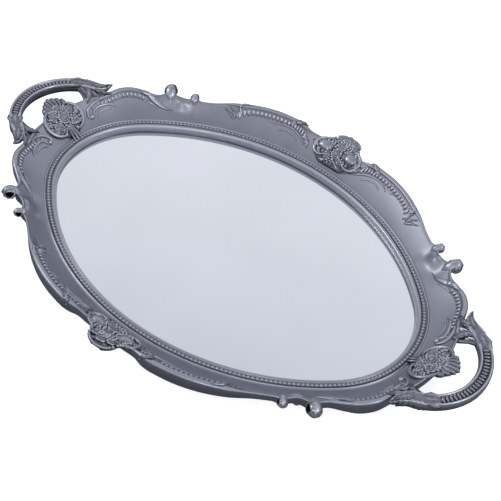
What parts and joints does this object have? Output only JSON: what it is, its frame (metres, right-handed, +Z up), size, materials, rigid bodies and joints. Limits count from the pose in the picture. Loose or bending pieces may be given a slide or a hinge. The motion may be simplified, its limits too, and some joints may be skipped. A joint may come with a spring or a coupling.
{
  "type": "serving tray",
  "caption": "Oval mirror serving tray with a flared, lobed cast rim, a beaded inner band, applied rose and shell crests, corner scrolls and a bowed handle at each end.",
  "frame": {"origin": "centre of the tray on the surface it stands on, under the middle of the mirror", "axes": "+X from the middle to the right-hand handle, +Y across the tray to its back side, +Z up"},
  "size_m": [0.4986, 0.35, 0.0382],
  "materials": {
    "cast_rim": "cast alloy with a satin bluish pewter-grey finish",
    "cast_ornament": "cast alloy, antique pewter finish, darker in the recesses",
    "mirror_glass": "silvered flat glass",
    "foam": "thin closed-cell foam sheet",
    "hardboard": "hardboard stained black",
    "steel_screws": "zinc-plated steel",
    "rubber_feet": "matt black rubber"
  },
  "bodies": {
    "root": {"rim_frame": "cast_rim", "bead_wire": "cast_rim", "handle_left": "cast_ornament", "handle_right": "cast_ornament", "crest_left": "cast_ornament", "crest_right": "cast_ornament", "crest_front": "cast_ornament", "crest_back": "cast_ornament", "scroll_front_left": "cast_ornament", "scroll_front_right": "cast_ornament", "scroll_back_left": "cast_ornament", "scroll_back_right": "cast_ornament", "mirror_plate": "mirror_glass", "mirror_cushion": "foam", "base_plate": "hardboard", "base_screws": "steel_screws", "handle_screws": "steel_screws", "crest_screws": "steel_screws", "scroll_screws": "steel_screws", "foot_screws": "steel_screws", "foot_front_left": "rubber_feet", "foot_front_right": "rubber_feet", "foot_back_left": "rubber_feet", "foot_back_right": "rubber_feet"}
  },
  "joints": []
}
